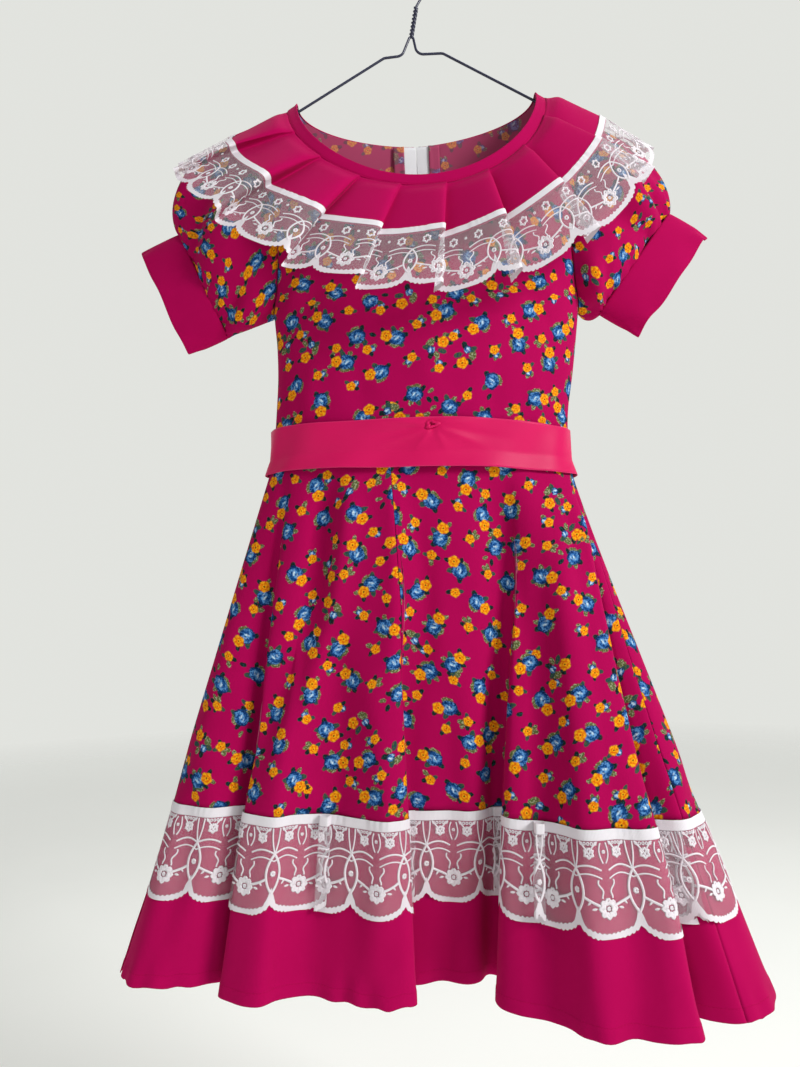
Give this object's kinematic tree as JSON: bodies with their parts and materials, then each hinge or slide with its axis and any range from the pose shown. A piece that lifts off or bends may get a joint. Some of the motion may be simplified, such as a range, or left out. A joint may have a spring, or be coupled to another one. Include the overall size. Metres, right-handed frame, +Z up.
{
  "type": "folk dance dress on a hanger",
  "caption": "Girl's flared folk dance dress with pleated lace-edged collar, puffed sleeves, satin waist ribbon and banded lace hem, hanging on a thin wire hanger.",
  "frame": {"origin": "inner top of the hanger's hook, where a rail carries it", "axes": "+Z up, +X to the viewer's right, the front of the dress faces -Y"},
  "size_m": [0.5532, 0.1753, 0.9609],
  "materials": {
    "printed_cloth": "light plain weave, magenta with small tossed roses",
    "plain_cloth": "light plain weave, solid magenta, slight sheen",
    "lace": "white net lace with corded scallops",
    "satin_ribbon": "satin",
    "zip_tape": "white woven tape",
    "zip_metal": "white painted",
    "coated_wire": "dark plastic-coated wire"
  },
  "bodies": {
    "dress": {"bodice_front": "printed_cloth", "bodice_back_left": "printed_cloth", "bodice_back_right": "printed_cloth", "sleeve_left": "printed_cloth", "sleeve_right": "printed_cloth", "skirt_front_left": "printed_cloth", "skirt_front_right": "printed_cloth", "skirt_back_left": "printed_cloth", "skirt_back_right": "printed_cloth", "neck_binding": "plain_cloth", "collar_flounce": "plain_cloth", "cuff_left": "plain_cloth", "cuff_right": "plain_cloth", "hem_band_front_left": "plain_cloth", "hem_band_front_right": "plain_cloth", "hem_band_back_left": "plain_cloth", "hem_band_back_right": "plain_cloth", "collar_lace": "lace", "skirt_lace": "lace", "waist_ribbon": "satin_ribbon", "zip_tape_left": "zip_tape", "zip_tape_right": "zip_tape", "zip_slider": "zip_metal", "hanger": "coated_wire"},
    "pull": {"zip_pull": "zip_metal"}
  },
  "joints": [
    {"name": "pull_swing", "type": "hinge", "parent": "dress", "child": "pull", "pos_m": [-0.00086, 0.04054, -0.19202], "axis": [1, 0, 0], "range_deg": [0, 150]}
  ]
}
